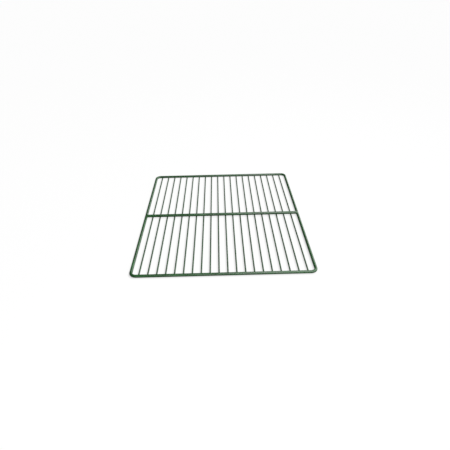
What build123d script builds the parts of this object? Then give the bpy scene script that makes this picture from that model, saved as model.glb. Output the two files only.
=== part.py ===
# Refrigerator wire shelf: a bent rod frame, filled with straight wires and stiffened by one cross bar.
# The shelf lies on the face where the wires are flush with the frame, and the bar is on top of the wires.
# The origin is the middle of that lower face. X runs across the shelf, Y from front to back and Z up.
import os

from build123d import *

# Overall size of the shelf
shelf_width = 530
shelf_depth = 650

# Rod, bar and wire, measured over the plastic coat
frame_diameter = 9
bar_diameter = 10
wire_diameter = 4.5

# Layout: corner bends to the middle of the rod, and wires from middle to middle
bend_radius = 16
wire_pitch = 25

# Weld joints: how far the bar is pressed onto the wires, and how far ends run past a rod's inner face
bar_weld_depth = 0.4
wire_end_lap = 1.5
bar_end_lap = 4
bar_end_bevel = 1

# The middle line of the frame rod
frame_height = frame_diameter / 2
ring_width = shelf_width - frame_diameter
ring_depth = shelf_depth - frame_diameter

# Wires: as many as the pitch allows, centred, with more than half a pitch left beside each side rod
wire_count = int(ring_width // wire_pitch)
wire_height = wire_diameter / 2
wire_length = ring_depth - frame_diameter + 2 * wire_end_lap
wire_places = [(number - (wire_count - 1) / 2) * wire_pitch for number in range(wire_count)]

# Cross bar: on top of the wires, at the middle of the shelf
bar_height = wire_diameter - bar_weld_depth + bar_diameter / 2
bar_length = ring_width - frame_diameter + 2 * bar_end_lap

os.makedirs("parts", exist_ok=True)

# Frame: one rod, bent at four corners and closed into a ring
with BuildPart() as frame:
    with BuildLine(Plane.XY.offset(frame_height)) as ring:
        FilletPolyline(
            (-ring_width / 2, -ring_depth / 2),
            (ring_width / 2, -ring_depth / 2),
            (ring_width / 2, ring_depth / 2),
            (-ring_width / 2, ring_depth / 2),
            radius=bend_radius,
            close=True,
        )
    with BuildSketch(Plane(origin=ring.line @ 0, z_dir=ring.line % 0)):
        Circle(frame_diameter / 2)
    sweep()
frame.part.label = "frame"
export_step(frame.part, "parts/frame.step")

# Cross bar: bevelled ends, a shallow saddle over each wire, and both ends coped over the side rods
with BuildPart() as cross_bar:
    with BuildSketch(Plane.YZ):
        with Locations((0, bar_height)):
            Circle(bar_diameter / 2)
    extrude(amount=bar_length / 2, both=True)
    chamfer(cross_bar.edges().filter_by(GeomType.CIRCLE), length=bar_end_bevel)
    with Locations([(place, 0, wire_height) for place in wire_places]):
        Cylinder(wire_diameter / 2, 2 * bar_diameter, rotation=(90, 0, 0), mode=Mode.SUBTRACT)
    add(frame.part, mode=Mode.SUBTRACT)
cross_bar.part.label = "cross_bar"
export_step(cross_bar.part, "parts/cross_bar.step")

# Wires: straight from the front rod to the back rod, with both ends coped to seat against the rods
for number, place in enumerate(wire_places, start=1):
    wire_name = f"wire_{number:02d}"
    with BuildPart() as wire:
        with BuildSketch(Plane.XZ):
            with Locations((place, wire_height)):
                Circle(wire_diameter / 2)
        extrude(amount=wire_length / 2, both=True)
        add(frame.part, mode=Mode.SUBTRACT)
    wire.part.label = wire_name
    export_step(wire.part, f"parts/{wire_name}.step")
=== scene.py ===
# %% [markdown]
# A refrigerator wire shelf, dressed for a picture.
# The shelf is steel wire, welded into a grid and then coated with dark green plastic. The solids that this
# script loads already have every rod and wire at its real size, so nothing here is fitted by eye: each piece
# below is the same rod or wire again, with the soft skin that the melted plastic gives it.

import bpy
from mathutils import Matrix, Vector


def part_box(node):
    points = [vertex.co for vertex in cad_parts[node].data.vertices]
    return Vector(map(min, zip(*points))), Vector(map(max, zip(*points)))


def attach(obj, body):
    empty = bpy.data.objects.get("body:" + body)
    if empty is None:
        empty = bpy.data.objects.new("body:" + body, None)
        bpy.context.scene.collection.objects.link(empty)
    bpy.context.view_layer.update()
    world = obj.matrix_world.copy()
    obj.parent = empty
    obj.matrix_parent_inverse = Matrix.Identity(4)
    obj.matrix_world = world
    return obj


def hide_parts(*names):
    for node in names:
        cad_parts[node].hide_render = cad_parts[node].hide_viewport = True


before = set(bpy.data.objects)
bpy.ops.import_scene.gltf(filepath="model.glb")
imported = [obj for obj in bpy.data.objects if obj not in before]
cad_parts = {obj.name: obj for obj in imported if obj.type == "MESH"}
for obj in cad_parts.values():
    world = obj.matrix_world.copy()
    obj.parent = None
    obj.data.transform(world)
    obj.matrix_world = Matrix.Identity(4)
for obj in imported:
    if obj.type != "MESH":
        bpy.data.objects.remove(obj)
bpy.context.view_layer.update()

# %% [markdown]
# First come the sizes. Rods and wires are round, so the box of a solid gives its thickness and its middle
# line. Only the radius of the corner bends can't be read from a box, so it is a value of its own.

# %% Measure the frame rod, the cross bar and the wires
import math

import bmesh
import bpy
from mathutils import Matrix, Vector
from mathutils.geometry import interpolate_bezier

MM = 0.001

ring_low, ring_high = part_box("frame")
rod_radius = (ring_high.z - ring_low.z) / 2
rod_height = ring_low.z + rod_radius
ring_width = ring_high.x - ring_low.x - 2 * rod_radius
ring_depth = ring_high.y - ring_low.y - 2 * rod_radius
bend_radius = 16 * MM

bar_low, bar_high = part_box("cross_bar")
bar_radius = (bar_high.y - bar_low.y) / 2
bar_height = bar_high.z - bar_radius
bar_half = bar_high.x

wire_names = sorted(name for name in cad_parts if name.startswith("wire_"))
wire_low, wire_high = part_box(wire_names[0])
wire_radius = (wire_high.x - wire_low.x) / 2
wire_height = wire_low.z + wire_radius
wire_half = wire_high.y
first_wire = wire_low.x + wire_radius
wire_pitch = (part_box(wire_names[-1])[0].x - wire_low.x) / (len(wire_names) - 1)
print("rod radius %.2f mm, bar radius %.2f mm, wire radius %.2f mm, pitch %.2f mm"
      % (rod_radius / MM, bar_radius / MM, wire_radius / MM, wire_pitch / MM))

# %% [markdown]
# Geometry Nodes will make what repeats and what follows a path, and shader nodes the finish. Both are trees
# of nodes, so they share two small helpers: one names the sockets of a tree, the other adds a node and plugs
# in its values or links.

# %% Helpers for node trees
GEOMETRY = "NodeSocketGeometry"
MATERIAL = "NodeSocketMaterial"
COLOUR = "NodeSocketColor"
FLOAT = "NodeSocketFloat"
INTEGER = "NodeSocketInt"


def add_sockets(tree, inputs, outputs):
    """Names the inputs and outputs of a tree, and returns its input node and its output node."""
    for name, kind in inputs.items():
        tree.interface.new_socket(name=name, in_out="INPUT", socket_type=kind)
    for name, kind in outputs.items():
        tree.interface.new_socket(name=name, in_out="OUTPUT", socket_type=kind)
    return tree.nodes.new("NodeGroupInput"), tree.nodes.new("NodeGroupOutput")


def add_node(tree, kind, inputs=None, **settings):
    """Adds a node. Each input is either a socket to link from, or a plain value."""
    node = tree.nodes.new(kind)
    for name, value in settings.items():
        setattr(node, name, value)
    for key, value in (inputs or {}).items():
        if isinstance(value, bpy.types.NodeSocket):
            tree.links.new(value, node.inputs[key])
        else:
            node.inputs[key].default_value = value
    return node


print("helpers ready")

# %% [markdown]
# The finish comes first, because every tree below ends by setting it. The coat is soft plastic that was
# melted on: very dark green, fairly glossy, and never quite even. Its colour drifts a little along a wire,
# it has the fine dimples of a melted coat, and it is deeper in colour where it has gathered in the corner of
# a weld. That last part reads a mesh attribute, coat_pool, which the pieces below carry. One shader group
# holds all of it, so that the thick rods and the thin wires can each use it at their own scale.

# %% The shader group of the melted coat
MIX_A, MIX_B, MIX_RESULT = 6, 7, 2
TINT_LOW, TINT_HIGH = 0.32, 0.70
GLOSS_LOW, GLOSS_HIGH = 0.30, 0.72

melted_coat = bpy.data.node_groups.new("melted_coat", "ShaderNodeTree")
given, result = add_sockets(
    melted_coat,
    {"Deep": COLOUR, "Thin": COLOUR, "Drift Scale": FLOAT, "Dimple Scale": FLOAT,
     "Glossy": FLOAT, "Dull": FLOAT},
    {"Colour": COLOUR, "Roughness": FLOAT, "Height": FLOAT},
)
place = add_node(melted_coat, "ShaderNodeTexCoord").outputs["Object"]
drift = add_node(
    melted_coat, "ShaderNodeTexNoise",
    {"Vector": place, "Scale": given.outputs["Drift Scale"], "Detail": 3.0},
)
thinness = add_node(
    melted_coat, "ShaderNodeMapRange",
    {"Value": drift.outputs["Fac"], "From Min": TINT_LOW, "From Max": TINT_HIGH},
)
pool = add_node(melted_coat, "ShaderNodeAttribute", attribute_name="coat_pool")
thin_share = add_node(
    melted_coat, "ShaderNodeMath",
    {0: thinness.outputs["Result"], 1: pool.outputs["Fac"]}, operation="SUBTRACT", use_clamp=True,
)
tint = add_node(
    melted_coat, "ShaderNodeMix",
    {0: thin_share.outputs[0], MIX_A: given.outputs["Deep"], MIX_B: given.outputs["Thin"]},
    data_type="RGBA",
)
dimples = add_node(
    melted_coat, "ShaderNodeTexNoise",
    {"Vector": place, "Scale": given.outputs["Dimple Scale"], "Detail": 2.0, "Roughness": 0.45},
)
gloss = add_node(
    melted_coat, "ShaderNodeMapRange",
    {"Value": drift.outputs["Fac"], "From Min": GLOSS_LOW, "From Max": GLOSS_HIGH,
     "To Min": given.outputs["Glossy"], "To Max": given.outputs["Dull"]},
)
melted_coat.links.new(tint.outputs[MIX_RESULT], result.inputs["Colour"])
melted_coat.links.new(gloss.outputs["Result"], result.inputs["Roughness"])
melted_coat.links.new(dimples.outputs["Fac"], result.inputs["Height"])
print(melted_coat.name, "nodes:", len(melted_coat.nodes))

# %% [markdown]
# Bowls and boxes slide over a shelf from front to back, and leave faint dull streaks on whatever faces up.
# A noise that is stretched along Y gives the streaks, and the height of the surface normal keeps them on top.
# It only puts out a mask, so each material decides how strongly its own coat is marked.

# %% The shader group of the sliding marks
STREAK_SQUEEZE = 0.12
STREAK_LOW, STREAK_HIGH = 0.54, 0.70
TOP_LOW, TOP_HIGH = 0.55, 0.95

sliding_marks = bpy.data.node_groups.new("sliding_marks", "ShaderNodeTree")
given, result = add_sockets(sliding_marks, {"Streak Scale": FLOAT, "Strength": FLOAT}, {"Mask": FLOAT})
place = add_node(sliding_marks, "ShaderNodeTexCoord").outputs["Object"]
stretched = add_node(
    sliding_marks, "ShaderNodeMapping", {"Vector": place, "Scale": (1.0, STREAK_SQUEEZE, 1.0)},
)
streaks = add_node(
    sliding_marks, "ShaderNodeTexNoise",
    {"Vector": stretched.outputs["Vector"], "Scale": given.outputs["Streak Scale"], "Detail": 4.0},
)
thin_streaks = add_node(
    sliding_marks, "ShaderNodeMapRange",
    {"Value": streaks.outputs["Fac"], "From Min": STREAK_LOW, "From Max": STREAK_HIGH},
)
surface = add_node(sliding_marks, "ShaderNodeNewGeometry")
facing = add_node(sliding_marks, "ShaderNodeSeparateXYZ", {0: surface.outputs["Normal"]})
on_top = add_node(
    sliding_marks, "ShaderNodeMapRange",
    {"Value": facing.outputs["Z"], "From Min": TOP_LOW, "From Max": TOP_HIGH},
)
marked = add_node(
    sliding_marks, "ShaderNodeMath",
    {0: thin_streaks.outputs["Result"], 1: on_top.outputs["Result"]}, operation="MULTIPLY",
)
weighed = add_node(
    sliding_marks, "ShaderNodeMath",
    {0: marked.outputs[0], 1: given.outputs["Strength"]}, operation="MULTIPLY", use_clamp=True,
)
sliding_marks.links.new(weighed.outputs[0], result.inputs["Mask"])
print(sliding_marks.name, "nodes:", len(sliding_marks.nodes))

# %% [markdown]
# Both materials are the same plastic. The rods are dipped with the wires, but on a thin wire the melt runs
# off sooner. Its coat is thinner, so that the grey steel shows through a little, and has finer dimples.

# %% The coats of the rods and of the wires
COAT_IOR = 1.52
GLOSSY, DULL = 0.24, 0.38
DIMPLE_STRENGTH = 0.35
RUBBED = (0.050, 0.085, 0.058)
MARK_STRENGTH, MARK_DULLING = 0.35, 0.5


def paint_coat(name, deep, thin, drift_scale, dimple_scale, streak_scale, dimple_depth):
    """Makes one coat material from the two groups."""
    material = bpy.data.materials.new(name)
    material.use_nodes = True
    tree = material.node_tree
    plastic = tree.nodes["Principled BSDF"]
    plastic.inputs["IOR"].default_value = COAT_IOR
    coat = add_node(
        tree, "ShaderNodeGroup",
        {"Deep": (*deep, 1.0), "Thin": (*thin, 1.0), "Drift Scale": drift_scale,
         "Dimple Scale": dimple_scale, "Glossy": GLOSSY, "Dull": DULL},
        node_tree=melted_coat,
    )
    marks = add_node(
        tree, "ShaderNodeGroup", {"Streak Scale": streak_scale, "Strength": MARK_STRENGTH},
        node_tree=sliding_marks,
    )
    rubbed = add_node(
        tree, "ShaderNodeMix",
        {0: marks.outputs["Mask"], MIX_A: coat.outputs["Colour"], MIX_B: (*RUBBED, 1.0)}, data_type="RGBA",
    )
    dulled = add_node(
        tree, "ShaderNodeMath",
        {0: marks.outputs["Mask"], 1: MARK_DULLING, 2: coat.outputs["Roughness"]}, operation="MULTIPLY_ADD",
    )
    bump = add_node(
        tree, "ShaderNodeBump",
        {"Strength": DIMPLE_STRENGTH, "Distance": dimple_depth, "Height": coat.outputs["Height"]},
    )
    tree.links.new(rubbed.outputs[MIX_RESULT], plastic.inputs["Base Color"])
    tree.links.new(dulled.outputs[0], plastic.inputs["Roughness"])
    tree.links.new(bump.outputs["Normal"], plastic.inputs["Normal"])
    return material


rod_coat = paint_coat(
    "rod_coat", deep=(0.003, 0.030, 0.004), thin=(0.006, 0.051, 0.009),
    drift_scale=38.0, dimple_scale=520.0, streak_scale=420.0, dimple_depth=0.25 * MM,
)
wire_coat = paint_coat(
    "wire_coat", deep=(0.003, 0.025, 0.004), thin=(0.005, 0.042, 0.008),
    drift_scale=60.0, dimple_scale=760.0, streak_scale=520.0, dimple_depth=0.15 * MM,
)
print("materials:", rod_coat.name, wire_coat.name)

# %% [markdown]
# Melted plastic doesn't lie dead even, so every piece gets a slow ripple, a few hundredths of a millimetre
# deep. It only ever goes inwards, so that no piece grows past its solid. The ripple is a Geometry Nodes
# group, which the trees of the frame and of the wires both end with.

# %% The Geometry Nodes group of the coat's ripple
coat_ripple = bpy.data.node_groups.new("coat_ripple", "GeometryNodeTree")
given, result = add_sockets(
    coat_ripple,
    {"Geometry": GEOMETRY, "Depth": FLOAT, "Scale": FLOAT, "Seed": FLOAT},
    {"Geometry": GEOMETRY},
)
swell = add_node(
    coat_ripple, "ShaderNodeTexNoise",
    {"Scale": given.outputs["Scale"], "W": given.outputs["Seed"], "Detail": 1.0}, noise_dimensions="4D",
)
inwards = add_node(
    coat_ripple, "ShaderNodeMath", {0: swell.outputs["Fac"], 1: -1.0}, operation="MULTIPLY",
)
amount = add_node(
    coat_ripple, "ShaderNodeMath", {0: inwards.outputs[0], 1: given.outputs["Depth"]}, operation="MULTIPLY",
)
normal = add_node(coat_ripple, "GeometryNodeInputNormal")
push = add_node(
    coat_ripple, "ShaderNodeVectorMath",
    {0: normal.outputs["Normal"], "Scale": amount.outputs[0]}, operation="SCALE",
)
moved = add_node(
    coat_ripple, "GeometryNodeSetPosition",
    {"Geometry": given.outputs["Geometry"], "Offset": push.outputs["Vector"]},
)
smooth = add_node(coat_ripple, "GeometryNodeSetShadeSmooth", {"Geometry": moved.outputs["Geometry"]})
coat_ripple.links.new(smooth.outputs["Geometry"], result.inputs["Geometry"])
print(coat_ripple.name, "nodes:", len(coat_ripple.nodes))

# %% [markdown]
# A tree runs once, as a modifier, and its result is kept as a plain mesh, so that nothing is left to evaluate
# later. Inputs are set by the identifier of their socket, and before the object is first evaluated.

# %% Run a tree and keep its mesh
RIPPLE = {"Ripple Depth": 0.07 * MM, "Ripple Scale": 45.0}


def grow(name, tree, values, start=None):
    """Runs a tree on a start mesh, and keeps the result as a plain mesh piece that rides on the root body."""
    piece = bpy.data.objects.new(name, start or bpy.data.meshes.new(name))
    bpy.context.scene.collection.objects.link(piece)
    modifier = piece.modifiers.new("grow", "NODES")
    modifier.node_group = tree
    for item in tree.interface.items_tree:
        if item.in_out == "INPUT" and item.name in values:
            modifier[item.identifier] = values[item.name]
    graph = bpy.context.evaluated_depsgraph_get()
    mesh = bpy.data.meshes.new_from_object(piece.evaluated_get(graph))
    piece.modifiers.remove(modifier)
    piece.data = mesh
    mesh.name = name
    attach(piece, "root")
    print(name, "vertices:", len(mesh.vertices), "faces:", len(mesh.polygons))
    return piece


print("ripple in mm:", RIPPLE["Ripple Depth"] / MM)

# %% [markdown]
# The frame is one thick rod, bent round four corners and butt-welded into a ring. It follows a rule, so a
# tree makes it: a rectangle with its corners filleted is the middle line of the rod, and a circle is swept
# along it. The line is resampled first, so that the rows of faces are even and the ripple has points to move.

# %% The tree of the bent frame
BEND_STEPS = 24

bent_rod = bpy.data.node_groups.new("bent_rod", "GeometryNodeTree")
given, result = add_sockets(
    bent_rod,
    {"Width": FLOAT, "Depth": FLOAT, "Bend Radius": FLOAT, "Rod Radius": FLOAT, "Height": FLOAT,
     "Row Step": FLOAT, "Sides": INTEGER, "Ripple Depth": FLOAT, "Ripple Scale": FLOAT, "Seed": FLOAT,
     "Coat": MATERIAL},
    {"Geometry": GEOMETRY},
)
corners = add_node(
    bent_rod, "GeometryNodeCurvePrimitiveQuadrilateral",
    {"Width": given.outputs["Width"], "Height": given.outputs["Depth"]},
)
bends = add_node(
    bent_rod, "GeometryNodeFilletCurve",
    {"Curve": corners.outputs["Curve"], "Count": BEND_STEPS, "Radius": given.outputs["Bend Radius"]},
    mode="POLY",
)
rows = add_node(
    bent_rod, "GeometryNodeResampleCurve",
    {"Curve": bends.outputs["Curve"], "Length": given.outputs["Row Step"]}, mode="LENGTH",
)
section = add_node(
    bent_rod, "GeometryNodeCurvePrimitiveCircle",
    {"Resolution": given.outputs["Sides"], "Radius": given.outputs["Rod Radius"]},
)
rod = add_node(
    bent_rod, "GeometryNodeCurveToMesh",
    {"Curve": rows.outputs["Curve"], "Profile Curve": section.outputs["Curve"]},
)
lift = add_node(bent_rod, "ShaderNodeCombineXYZ", {"Z": given.outputs["Height"]})
lifted = add_node(
    bent_rod, "GeometryNodeSetPosition",
    {"Geometry": rod.outputs["Mesh"], "Offset": lift.outputs["Vector"]},
)
real = add_node(bent_rod, "GeometryNodeRealizeInstances", {"Geometry": lifted.outputs["Geometry"]})
coated = add_node(
    bent_rod, "GeometryNodeGroup",
    {"Geometry": real.outputs["Geometry"], "Depth": given.outputs["Ripple Depth"],
     "Scale": given.outputs["Ripple Scale"], "Seed": given.outputs["Seed"]},
    node_tree=coat_ripple,
)
painted = add_node(
    bent_rod, "GeometryNodeSetMaterial",
    {"Geometry": coated.outputs["Geometry"], "Material": given.outputs["Coat"]},
)
bent_rod.links.new(painted.outputs["Geometry"], result.inputs["Geometry"])
print(bent_rod.name, "nodes:", len(bent_rod.nodes))

# %% [markdown]
# The tree now makes the frame, with the sizes that were measured above. Rows every millimetre and a half keep
# the outside of the bends smooth, also close up.

# %% Make the frame
FRAME_ROW, FRAME_SIDES = 1.5 * MM, 32

frame_rod = grow(
    "frame_rod", bent_rod,
    {"Width": ring_width, "Depth": ring_depth, "Bend Radius": bend_radius, "Rod Radius": rod_radius,
     "Height": rod_height, "Row Step": FRAME_ROW, "Sides": FRAME_SIDES, "Seed": 1.0, "Coat": rod_coat,
     **RIPPLE},
)
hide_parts("frame")

# %% [markdown]
# Wires and bar are welded to the frame by their ends, and the coat fills the sharp corner of each weld with
# a soft flare. The flare is what makes a coated grid look coated, so it is worked out line by line round the
# wire. Each line leaves the straight wire, and lands on the rod a little outside of where the bare wire would
# meet it. In between it is a Bezier curve, whose handles lie along the wire and along the rod, so that the
# flare is smooth at both ends. The last points are sunk into the rod by a tenth of a millimetre, which closes
# the seam.

# %% The flare of the coat at a welded end
COAT_RUN = 1.4 * MM
COAT_REACH = 1.4 * MM
COAT_SINK = 0.12 * MM
FLARE_POINTS = 9
HANDLE = 0.6


def flare_line(turn, radius, rod_rise, end_gap):
    """One line of the flare, on a member along Y at height 0, with the rod's middle line at y 0.

    turn goes round the member from its top, rod_rise is the height of the rod's middle line above the
    member's, and end_gap is how far the member's bare end stops short of it.
    """
    across = radius * math.sin(turn)
    level = radius * math.cos(turn)
    end_angle = math.acos(end_gap / rod_radius)

    def meeting_angle(height):
        slope = max(-1.0, min(1.0, (height - rod_rise) / rod_radius))
        return max(-end_angle, min(end_angle, math.asin(slope)))

    angle = meeting_angle(level)
    middle = (meeting_angle(radius) + meeting_angle(-radius)) / 2
    away = Vector((across, rod_radius * (angle - middle))).normalized()
    landing = angle + away.y * COAT_REACH / rod_radius
    sunk = rod_radius - COAT_SINK
    drop = abs(level - rod_rise - rod_radius * math.sin(angle))
    run = COAT_RUN + drop / 4
    start = Vector((across, -rod_radius * math.cos(angle) - run, level))
    end = Vector((
        across + away.x * COAT_REACH, -sunk * math.cos(landing), rod_rise + sunk * math.sin(landing),
    ))
    along_rod = Vector((away.x, away.y * math.sin(landing), away.y * math.cos(landing)))
    start_handle = start + Vector((0.0, HANDLE * (run + drop / 2), 0.0))
    end_handle = end - along_rod * HANDLE * (COAT_REACH + drop / 3)
    return interpolate_bezier(start, start_handle, end_handle, end, FLARE_POINTS)


sample = flare_line(0.0, wire_radius, rod_height - wire_height, ring_depth / 2 - wire_half)
print("flare on top of a wire, from", [round(v / MM, 2) for v in sample[0]],
      "to", [round(v / MM, 2) for v in sample[-1]])

# %% [markdown]
# A whole wire is then a stack of rings: the flare at the front rod, straight rows, and the flare at the back
# rod. The cross bar is the same thing, only thicker and turned by a quarter, so one function makes both. A
# point on the middle line of each rod closes the ends, where nobody can see them.

# %% Skin a straight member with its two flares


def skin_member(name, radius, rod_rise, end_gap, rod_place, sides, row_step):
    """A closed mesh of a member along Y, between rods whose middle lines are at -rod_place and rod_place."""
    turns = [2 * math.pi * i / sides for i in range(sides)]
    lines = [flare_line(turn, radius, rod_rise, end_gap) for turn in turns]
    back = [[point + Vector((0.0, rod_place, 0.0)) for point in row] for row in zip(*lines)]
    front = [[Vector((point.x, -point.y, point.z)) for point in row] for row in reversed(back)]
    straight_end = rod_place - 3 * rod_radius
    count = round(2 * straight_end / row_step)
    straight = [
        [Vector((radius * math.sin(turn), y, radius * math.cos(turn))) for turn in turns]
        for y in (straight_end * (2 * i / count - 1) for i in range(count + 1))
    ]
    fade = [i / (FLARE_POINTS - 1) for i in range(FLARE_POINTS)]
    pools = fade[::-1] + [0.0] * len(straight) + fade

    build = bmesh.new()
    coat_pool = build.verts.layers.float.new("coat_pool")
    rings = [[build.verts.new(point) for point in row] for row in front + straight + back]
    for ring, depth in zip(rings, pools):
        for vertex in ring:
            vertex[coat_pool] = depth
    for ring, following in zip(rings, rings[1:]):
        for i in range(sides):
            build.faces.new((ring[i - 1], ring[i], following[i], following[i - 1]))
    for ring, place in ((rings[0], -rod_place), (rings[-1], rod_place)):
        tip = build.verts.new((0.0, place, rod_rise))
        for i in range(sides):
            build.faces.new((ring[i - 1], ring[i], tip))
    bmesh.ops.recalc_face_normals(build, faces=build.faces)
    mesh = bpy.data.meshes.new(name)
    build.to_mesh(mesh)
    build.free()
    return mesh


wire_mesh = skin_member(
    "one_wire", wire_radius, rod_height - wire_height, ring_depth / 2 - wire_half, ring_depth / 2,
    sides=20, row_step=6 * MM,
)
wire_mesh.transform(Matrix.Translation((0.0, 0.0, wire_height)))
bar_mesh = skin_member(
    "one_bar", bar_radius, rod_height - bar_height, ring_width / 2 - bar_half, ring_width / 2,
    sides=36, row_step=5 * MM,
)
bar_mesh.transform(Matrix.Translation((0.0, 0.0, bar_height)) @ Matrix.Rotation(-math.pi / 2, 4, "Z"))
print("wire faces:", len(wire_mesh.polygons), "bar faces:", len(bar_mesh.polygons))

# %% [markdown]
# All wires are alike, so they are one mesh, repeated side by side. The tree puts an instance on each point of
# a line, and makes the instances real before the ripple, because a ripple on the first wire alone would come
# out the same on all of them. With a count of one, the same tree also coats the cross bar.

# %% The tree that repeats a mesh side by side
side_by_side = bpy.data.node_groups.new("side_by_side", "GeometryNodeTree")
given, result = add_sockets(
    side_by_side,
    {"Geometry": GEOMETRY, "Count": INTEGER, "First": FLOAT, "Pitch": FLOAT, "Ripple Depth": FLOAT,
     "Ripple Scale": FLOAT, "Seed": FLOAT, "Coat": MATERIAL},
    {"Geometry": GEOMETRY},
)
first = add_node(side_by_side, "ShaderNodeCombineXYZ", {"X": given.outputs["First"]})
step = add_node(side_by_side, "ShaderNodeCombineXYZ", {"X": given.outputs["Pitch"]})
points = add_node(
    side_by_side, "GeometryNodeMeshLine",
    {"Count": given.outputs["Count"], "Start Location": first.outputs["Vector"],
     "Offset": step.outputs["Vector"]},
)
copies = add_node(
    side_by_side, "GeometryNodeInstanceOnPoints",
    {"Points": points.outputs["Mesh"], "Instance": given.outputs["Geometry"]},
)
real = add_node(side_by_side, "GeometryNodeRealizeInstances", {"Geometry": copies.outputs["Instances"]})
coated = add_node(
    side_by_side, "GeometryNodeGroup",
    {"Geometry": real.outputs["Geometry"], "Depth": given.outputs["Ripple Depth"],
     "Scale": given.outputs["Ripple Scale"], "Seed": given.outputs["Seed"]},
    node_tree=coat_ripple,
)
painted = add_node(
    side_by_side, "GeometryNodeSetMaterial",
    {"Geometry": coated.outputs["Geometry"], "Material": given.outputs["Coat"]},
)
side_by_side.links.new(painted.outputs["Geometry"], result.inputs["Geometry"])
print(side_by_side.name, "nodes:", len(side_by_side.nodes))

# %% [markdown]
# The wires stand for twenty solids at once, and the bar for one. Each run of the tree gets a seed of its own,
# so that no two pieces ripple alike.

# %% Make the wires and the cross bar
shelf_wires = grow(
    "shelf_wires", side_by_side,
    {"Count": len(wire_names), "First": first_wire, "Pitch": wire_pitch, "Seed": 2.0, "Coat": wire_coat,
     **RIPPLE},
    start=wire_mesh,
)
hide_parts(*wire_names)
stiffener = grow(
    "stiffener", side_by_side,
    {"Count": 1, "First": 0.0, "Pitch": 0.0, "Seed": 3.0, "Coat": rod_coat, **RIPPLE},
    start=bar_mesh,
)
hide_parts("cross_bar")

# %% [markdown]
# The cross bar lies on the wires and is spot-welded to each of them. There the coat has gathered as a small
# collar round the crossing. Its middle is the line where the two round surfaces cut each other, and from each
# point of that line it reaches the same way along the wire and along the bar. The face between is hollow,
# like the skin of any liquid in a corner.

# %% The collar of coat at one crossing
COLLAR_REACH = 1.5 * MM
COLLAR_SINK = 0.08 * MM
COLLAR_POINTS = 7
COLLAR_HANDLE = 0.55


def collar_profile(turn):
    """Points of the collar's section at one turn round the crossing, above the wire's middle line."""
    bar_rise = bar_height - wire_height
    half_wide = math.sqrt(wire_radius ** 2 - (bar_rise - bar_radius) ** 2)
    x = half_wide * math.sin(turn)
    z = math.sqrt(wire_radius ** 2 - x ** 2)
    y = math.copysign(math.sqrt(max(0.0, bar_radius ** 2 - (bar_rise - z) ** 2)), math.cos(turn))
    corner = Vector((x, y, z))

    on_wire = Vector((wire_radius * math.asin(x / wire_radius), y))
    on_wire += COLLAR_REACH * on_wire.normalized()
    wire_angle = on_wire.x / wire_radius
    sunk = wire_radius - COLLAR_SINK
    low = Vector((sunk * math.sin(wire_angle), on_wire.y, sunk * math.cos(wire_angle)))

    on_bar = Vector((x, bar_radius * math.asin(y / bar_radius)))
    on_bar += COLLAR_REACH * on_bar.normalized()
    bar_angle = on_bar.y / bar_radius
    sunk = bar_radius - COLLAR_SINK
    high = Vector((on_bar.x, sunk * math.sin(bar_angle), bar_rise - sunk * math.cos(bar_angle)))

    low_handle = low.lerp(corner, COLLAR_HANDLE)
    high_handle = high.lerp(corner, COLLAR_HANDLE)
    return [*interpolate_bezier(low, low_handle, high_handle, high, COLLAR_POINTS), corner]


print("collar section at the wire's side, in mm:",
      [[round(v / MM, 2) for v in point] for point in collar_profile(math.pi / 2 - 0.1)[::3]])

# %% [markdown]
# Sections all the way round the crossing make one closed ring of coat, and the tree of the wires repeats that
# ring at each of them.

# %% Close the collar and repeat it
COLLAR_LINES = 36


def skin_collar(name):
    """A closed ring of coat round one crossing, with the coat at its deepest all over."""
    build = bmesh.new()
    coat_pool = build.verts.layers.float.new("coat_pool")
    profiles = []
    for i in range(COLLAR_LINES):
        points = collar_profile(2 * math.pi * (i + 0.5) / COLLAR_LINES)
        profiles.append([build.verts.new(point) for point in points])
    for vertex in build.verts:
        vertex[coat_pool] = 1.0
    for profile, previous in zip(profiles, profiles[-1:] + profiles):
        for i in range(len(profile)):
            build.faces.new((previous[i - 1], previous[i], profile[i], profile[i - 1]))
    bmesh.ops.recalc_face_normals(build, faces=build.faces)
    mesh = bpy.data.meshes.new(name)
    build.to_mesh(mesh)
    build.free()
    return mesh


collar_mesh = skin_collar("one_collar")
collar_mesh.transform(Matrix.Translation((0.0, 0.0, wire_height)))
weld_collars = grow(
    "weld_collars", side_by_side,
    {"Count": len(wire_names), "First": first_wire, "Pitch": wire_pitch, "Seed": 4.0, "Coat": rod_coat,
     **RIPPLE},
    start=collar_mesh,
)

# %% [markdown]
# The floor is a plain white table. In an overexposed picture such a table is white right up to the wires,
# with only a breath of shade where they touch it. So it glows evenly, and an Ambient Occlusion node, which
# tells how open each spot is to the sky, takes some of the glow away close beside the wires. The node looks
# along a normal that leans to the right, where the room is brighter, so the shade falls to the left of each
# wire. The rods and wires see a dimmer table than the camera does, because a table that is lit to full white
# would wash out their dark undersides.

# %% The floor
TABLE_WHITE, TABLE_SHADE, TABLE_IN_COAT = 0.95, 0.56, 0.42
SHADE_REACH, SHADE_LEAN = 6.5 * MM, 1.2
floor_paint = bpy.data.materials.new("white_table")
floor_paint.use_nodes = True
floor_tree = floor_paint.node_tree
floor_shader = floor_tree.nodes["Principled BSDF"]
floor_shader.inputs["Base Color"].default_value = (0.03, 0.03, 0.03, 1.0)
floor_shader.inputs["Roughness"].default_value = 0.9
floor_shader.inputs["Specular IOR Level"].default_value = 0.0
floor_shader.inputs["Emission Color"].default_value = (1.0, 1.0, 1.0, 1.0)
table_face = add_node(floor_tree, "ShaderNodeNewGeometry")
leaning = add_node(
    floor_tree, "ShaderNodeVectorMath", {0: table_face.outputs["Normal"], 1: (SHADE_LEAN, 0.0, 0.0)},
)
to_light = add_node(
    floor_tree, "ShaderNodeVectorMath", {0: leaning.outputs["Vector"]}, operation="NORMALIZE",
)
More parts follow.
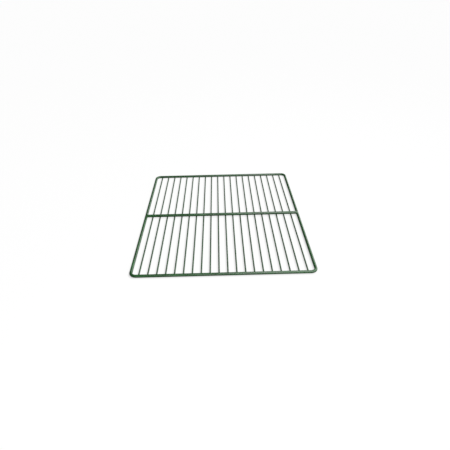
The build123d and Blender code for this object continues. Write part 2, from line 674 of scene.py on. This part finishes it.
openness = add_node(
    floor_tree, "ShaderNodeAmbientOcclusion",
    {"Distance": SHADE_REACH, "Normal": to_light.outputs["Vector"]}, samples=8,
)
shaded_white = add_node(
    floor_tree, "ShaderNodeMapRange",
    {"Value": openness.outputs["AO"], "To Min": TABLE_SHADE, "To Max": TABLE_WHITE},
)
floor_rays = add_node(floor_tree, "ShaderNodeLightPath")
floor_glow = add_node(
    floor_tree, "ShaderNodeMapRange",
    {"Value": floor_rays.outputs["Is Camera Ray"], "To Min": TABLE_IN_COAT,
     "To Max": shaded_white.outputs["Result"]},
)
floor_tree.links.new(floor_glow.outputs["Result"], floor_shader.inputs["Emission Strength"])

FLOOR_HALF = 40.0
FLOOR_DROP = 0.1 * MM
floor_mesh = bpy.data.meshes.new("floor")
floor_mesh.from_pydata(
    [(x * FLOOR_HALF, y * FLOOR_HALF, -FLOOR_DROP) for x, y in ((-1, -1), (1, -1), (1, 1), (-1, 1))],
    [], [(0, 1, 2, 3)],
)
floor_mesh.materials.append(floor_paint)
floor = bpy.data.objects.new("floor", floor_mesh)
bpy.context.scene.collection.objects.link(floor)
print("floor half size in m:", FLOOR_HALF)

# %% [markdown]
# The room round the table is dim, and brighter far to the right, as by a window. A wire that runs from front
# to back mirrors just the far end of the room, and so the wires stay dark, while the left rod gets a pale
# flank from the window. The camera itself sees a plain white world, so that the horizon doesn't show, and the
# Standard view keeps the colours as they are.

# %% The room
ROOM_LIGHT, WINDOW_LIGHT = 0.11, 3.2
WINDOW_START, WINDOW_FULL = 0.22, 0.45
HORIZON_WHITE = 0.97
world = bpy.data.worlds.new("soft_studio")
world.use_nodes = True
sky = world.node_tree
direction = add_node(sky, "ShaderNodeTexCoord")
sideways = add_node(sky, "ShaderNodeSeparateXYZ", {0: direction.outputs["Generated"]})
room = add_node(
    sky, "ShaderNodeMapRange",
    {"Value": sideways.outputs["X"], "From Min": WINDOW_START, "From Max": WINDOW_FULL, "To Min": ROOM_LIGHT,
     "To Max": WINDOW_LIGHT},
    interpolation_type="SMOOTHSTEP",
)
seen = add_node(sky, "ShaderNodeLightPath")
strength = add_node(
    sky, "ShaderNodeMapRange",
    {"Value": seen.outputs["Is Camera Ray"], "To Min": room.outputs["Result"], "To Max": HORIZON_WHITE},
)
sky.links.new(strength.outputs["Result"], sky.nodes["Background"].inputs["Strength"])
sky.nodes["Background"].inputs["Color"].default_value = (1.0, 1.0, 1.0, 1.0)
bpy.context.scene.world = world
bpy.context.scene.view_settings.view_transform = "Standard"
print("room light:", ROOM_LIGHT, "to", WINDOW_LIGHT)

# %% [markdown]
# Two lamps light the shelf, both large, as the cloth boxes of a studio are, because a large lamp gives soft
# highlights. The long box hangs over the shelf and to its right. A rod that runs across the shelf mirrors it
# in its right half only, which makes the rod paler there. The fill card stands low in front of the shelf, and
# lights what is nearest to it, so the front rod comes out paler than the cross bar. An area lamp's power is
# spread over its face, so each power is worked out from the brightness that the face should have.

# %% The lamps


def hang_lamp(name, width, height, place, tip, radiance):
    """Adds a soft rectangular lamp that the camera can't see, shining down and tipped to the back by tip."""
    data = bpy.data.lights.new(name, "AREA")
    data.shape = "RECTANGLE"
    data.size = width
    data.size_y = height
    data.energy = radiance * math.pi * width * height
    lamp = bpy.data.objects.new(name, data)
    lamp.location = place
    lamp.rotation_euler = (math.radians(tip), 0.0, 0.0)
    lamp.visible_camera = False
    bpy.context.scene.collection.objects.link(lamp)
    print(name, "W:", round(data.energy, 1))


hang_lamp("soft_box", 0.7, 4.5, (0.45, -1.25, 1.5), 0.0, radiance=5.0)
hang_lamp("fill_card", 0.9, 0.4, (0.1, -0.95, 0.4), 55.0, radiance=2.4)

# %% [markdown]
# The camera looks down on the shelf from the front. Its place, turn and lens were worked out from the angles
# of the rods and wires in the photograph, so that each of them falls where it is there.

# %% The camera
camera_data = bpy.data.cameras.new("camera")
camera_data.sensor_width = 36.0
camera_data.lens = 32.95
camera = bpy.data.objects.new("camera", camera_data)
camera_place = Vector((-3.7, -1221.8, 726.4)) * MM
yaw, pitch, roll = (math.radians(angle) for angle in (0.640, 31.923, -1.095))
turn_aside = Matrix.Rotation(-yaw, 4, "Z")
turn_down = Matrix.Rotation(math.pi / 2 - pitch, 4, "X")
tilt = Matrix.Rotation(roll, 4, "Z")
camera.matrix_world = Matrix.Translation(camera_place) @ turn_aside @ turn_down @ tilt
bpy.context.scene.collection.objects.link(camera)
bpy.context.scene.camera = camera
print("camera at", [round(v, 3) for v in camera_place], "lens", camera_data.lens)
